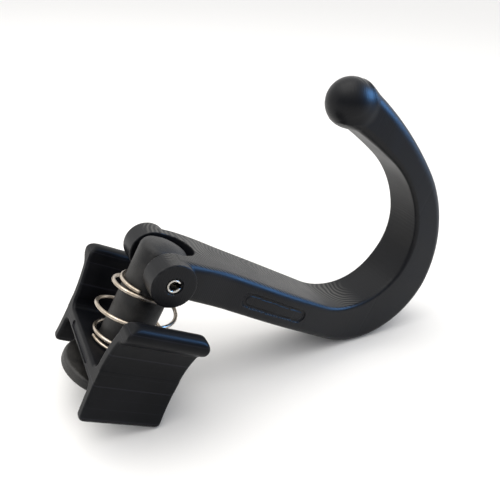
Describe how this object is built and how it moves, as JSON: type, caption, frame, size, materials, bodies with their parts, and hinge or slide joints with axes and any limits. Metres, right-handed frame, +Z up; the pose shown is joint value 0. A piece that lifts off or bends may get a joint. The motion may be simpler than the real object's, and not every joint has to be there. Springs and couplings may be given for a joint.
{
  "type": "spring clamp wall hanger hook",
  "caption": "Black J-shaped hanger hook hinged on a round post, with a spring-loaded winged saddle that clamps a wall rail against the post's end disc.",
  "frame": {"origin": "centre of the bounding box's footprint, at the level of the table the hanger rests on", "axes": "+X from the clamp towards the bend of the hook, +Y along the hinge pin, +Z up, square to the table; the post leans towards the hook"},
  "size_m": [0.1584, 0.063, 0.1111],
  "materials": {
    "arm_black": "satin black, fine layer lines",
    "post_black": "matt black, fine grain",
    "saddle_black": "satin black, fine lengthwise lines",
    "spring_steel": "bright drawn wire, slightly warm",
    "pin_steel": "rolled spring steel"
  },
  "bodies": {
    "post": {"post": "post_black"},
    "hook": {"hook_arm": "arm_black", "hinge_pin": "pin_steel"},
    "spring": {"spring": "spring_steel"},
    "saddle": {"saddle": "saddle_black"}
  },
  "joints": [
    {"name": "hook_hinge", "type": "hinge", "parent": "post", "child": "hook", "pos_m": [-0.04281, 0, 0.05111], "axis": [0, -1, 0], "range_deg": [0, 170]},
    {"name": "saddle_turn", "type": "hinge", "parent": "post", "child": "spring", "pos_m": [-0.04281, 0, 0.05111], "axis": [0.4577, 0, 0.8891], "range_deg": [-15, 15]},
    {"name": "saddle_lift", "type": "slide", "parent": "spring", "child": "saddle", "axis": [0.4577, 0, 0.8891], "range_m": [0, 0.014], "stiffness_N_per_m": 700, "deforming": ["spring"]}
  ]
}
